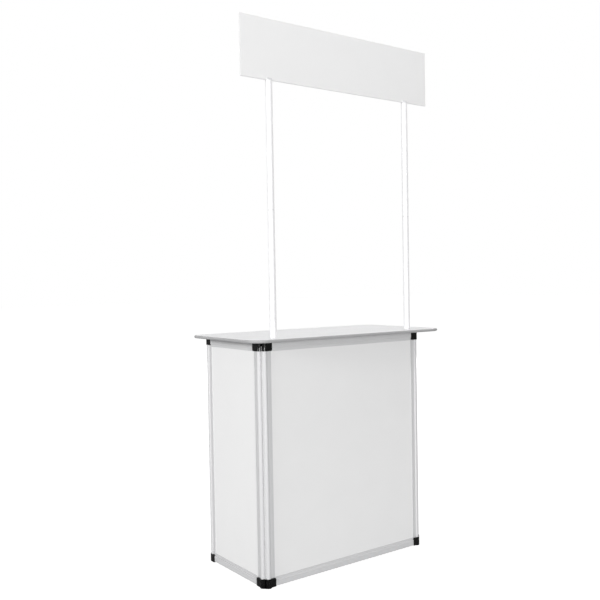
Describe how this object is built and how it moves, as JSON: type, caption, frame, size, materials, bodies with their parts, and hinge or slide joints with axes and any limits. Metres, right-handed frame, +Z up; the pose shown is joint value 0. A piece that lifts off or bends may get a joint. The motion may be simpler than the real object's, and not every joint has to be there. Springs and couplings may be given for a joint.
{
  "type": "promotional counter",
  "caption": "Fold-flat promotional counter: aluminium frames with white panels, black corner caps, a thin rounded top, and a header board on poles.",
  "frame": {"origin": "on the floor, below the middle of the top board", "axes": "+Z up, the front panel faces -Y, +X to the right as seen from the front"},
  "size_m": [0.933, 0.479, 2.0613],
  "materials": {
    "frame_aluminium": "satin anodised extrusion",
    "white_panel": "white rigid PVC sheet",
    "black_cap": "black moulded nylon",
    "steel": "zinc-plated steel",
    "cleat_zinc": "die-cast zinc",
    "pad_fabric": "hook-and-loop tape",
    "top_laminate": "light grey laminate on fibreboard",
    "edge_grey": "grey PVC edge band",
    "white_plastic": "white moulded plastic",
    "pole_white": "white powder-coated aluminium tube",
    "header_white": "white foamed PVC sheet"
  },
  "bodies": {
    "front_frame": {"front_bottom_rail": "frame_aluminium", "front_cleats": "cleat_zinc", "front_hook_pads": "pad_fabric", "front_left_bottom_cap": "black_cap", "front_left_stile": "frame_aluminium", "front_left_top_cap": "black_cap", "front_panel": "white_panel", "front_right_bottom_cap": "black_cap", "front_right_stile": "frame_aluminium", "front_right_top_cap": "black_cap", "front_screws": "steel", "front_top_rail": "frame_aluminium", "left_socket_bush": "black_cap", "right_socket_bush": "black_cap"},
    "left_link": {"left_bottom_link": "black_cap", "left_link_pins": "steel", "left_top_link": "black_cap"},
    "left_side": {"left_side_bottom_rail": "frame_aluminium", "left_side_cleats": "cleat_zinc", "left_side_hinge_bottom_cap": "black_cap", "left_side_hinge_stile": "frame_aluminium", "left_side_hinge_top_cap": "black_cap", "left_side_hook_pads": "pad_fabric", "left_side_panel": "white_panel", "left_side_rear_bottom_cap": "black_cap", "left_side_rear_stile": "frame_aluminium", "left_side_rear_top_cap": "black_cap", "left_side_screws": "steel", "left_side_top_rail": "frame_aluminium"},
    "right_link": {"right_bottom_link": "black_cap", "right_link_pins": "steel", "right_top_link": "black_cap"},
    "right_side": {"right_side_bottom_rail": "frame_aluminium", "right_side_cleats": "cleat_zinc", "right_side_hinge_bottom_cap": "black_cap", "right_side_hinge_stile": "frame_aluminium", "right_side_hinge_top_cap": "black_cap", "right_side_hook_pads": "pad_fabric", "right_side_panel": "white_panel", "right_side_rear_bottom_cap": "black_cap", "right_side_rear_stile": "frame_aluminium", "right_side_rear_top_cap": "black_cap", "right_side_screws": "steel", "right_side_top_rail": "frame_aluminium"},
    "top": {"pole_collars": "white_plastic", "table_top": "top_laminate", "top_edge_band": "edge_grey", "top_loop_pads": "pad_fabric"},
    "lower_mast": {"left_lower_pole": "pole_white", "left_pole_coupler": "white_plastic", "left_pole_foot": "white_plastic", "right_lower_pole": "pole_white", "right_pole_coupler": "white_plastic", "right_pole_foot": "white_plastic"},
    "upper_mast": {"clip_thumb_screws": "white_plastic", "left_header_clip": "white_plastic", "left_upper_pole": "pole_white", "right_header_clip": "white_plastic", "right_upper_pole": "pole_white"},
    "header": {"header_board": "header_white"}
  },
  "joints": [
    {"name": "left_link_fold", "type": "hinge", "parent": "front_frame", "child": "left_link", "pos_m": [-0.3745, -0.16, 0], "axis": [0, 0, -1], "range_deg": [0, 45]},
    {"name": "left_side_fold", "type": "hinge", "parent": "left_link", "child": "left_side", "pos_m": [-0.389, -0.1455, 0], "axis": [0, 0, -1], "range_deg": [0, 45]},
    {"name": "right_link_fold", "type": "hinge", "parent": "front_frame", "child": "right_link", "pos_m": [0.3745, -0.16, 0], "axis": [0, 0, 1], "range_deg": [0, 45]},
    {"name": "right_side_fold", "type": "hinge", "parent": "right_link", "child": "right_side", "pos_m": [0.389, -0.1455, 0], "axis": [0, 0, 1], "range_deg": [0, 45]},
    {"name": "top_lift", "type": "slide", "parent": "front_frame", "child": "top", "axis": [0, 0, 1], "range_m": [0, 0.1]},
    {"name": "poles_lift", "type": "slide", "parent": "front_frame", "child": "lower_mast", "axis": [0, 0, 1], "range_m": [0, 0.04]},
    {"name": "upper_poles_lift", "type": "slide", "parent": "lower_mast", "child": "upper_mast", "axis": [0, 0, 1], "range_m": [0, 0.055]},
    {"name": "header_lift", "type": "slide", "parent": "upper_mast", "child": "header", "axis": [0, 0, 1], "range_m": [0, 0.025]}
  ],
  "couplings": [
    {"joint": "left_link_fold", "follows": "left_side_fold", "ratio": 1},
    {"joint": "right_link_fold", "follows": "right_side_fold", "ratio": 1}
  ]
}
